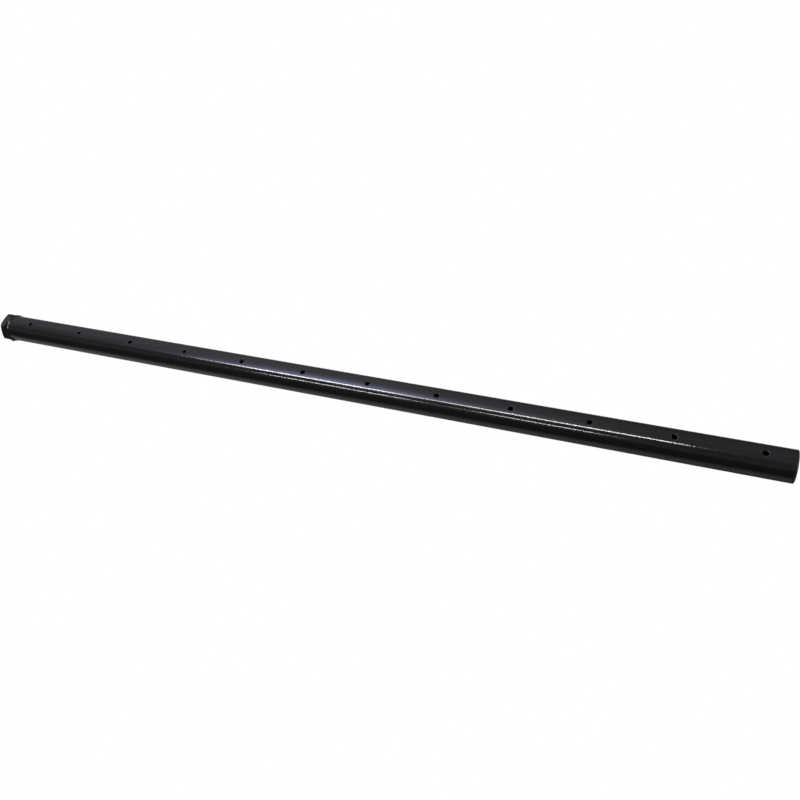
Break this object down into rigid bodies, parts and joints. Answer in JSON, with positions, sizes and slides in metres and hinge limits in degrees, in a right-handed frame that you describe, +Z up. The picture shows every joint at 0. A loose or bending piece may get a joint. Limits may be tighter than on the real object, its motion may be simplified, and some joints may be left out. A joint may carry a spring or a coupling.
{
  "type": "cargo bar",
  "caption": "Round steel cargo bar with a row of cross holes, a jack bolt with a swivelling foot pad at one end and a plug at the other.",
  "frame": {"origin": "centre of the whole bar at rest, on the tube's axis half way along", "axes": "X runs along the bar with the jack bolt at -X, +Z is up and along the cross holes, Y is across"},
  "size_m": [1.1964, 0.0474, 0.0442],
  "materials": {
    "tube_paint": "gloss black paint with orange peel",
    "bush_paint": "gloss black paint",
    "bead_paint": "gloss black paint over a weld",
    "bolt_black": "black finish on steel",
    "pad_rubber": "matt moulded rubber",
    "pin_steel": "turned steel",
    "ring_steel": "spring steel",
    "plug_plastic": "black moulded plastic"
  },
  "bodies": {
    "bar": {"main_tube": "tube_paint", "threaded_bush": "bush_paint", "weld_bead": "bead_paint", "end_plug": "plug_plastic"},
    "foot": {"foot_pad": "pad_rubber", "pad_pin": "pin_steel", "pin_ring": "ring_steel"},
    "jack": {"jack_bolt": "bolt_black"}
  },
  "joints": [
    {"name": "jack_travel", "type": "slide", "parent": "bar", "child": "foot", "axis": [-1, 0, 0], "range_m": [0, 0.0555]},
    {"name": "jack_turn", "type": "hinge", "parent": "foot", "child": "jack", "pos_m": [-0.5874, 0, 0], "axis": [-1, 0, 0], "range_deg": [0, 6664]}
  ],
  "couplings": [
    {"joint": "jack_turn", "follows": "jack_travel", "rad_per_m": 2094.4}
  ]
}
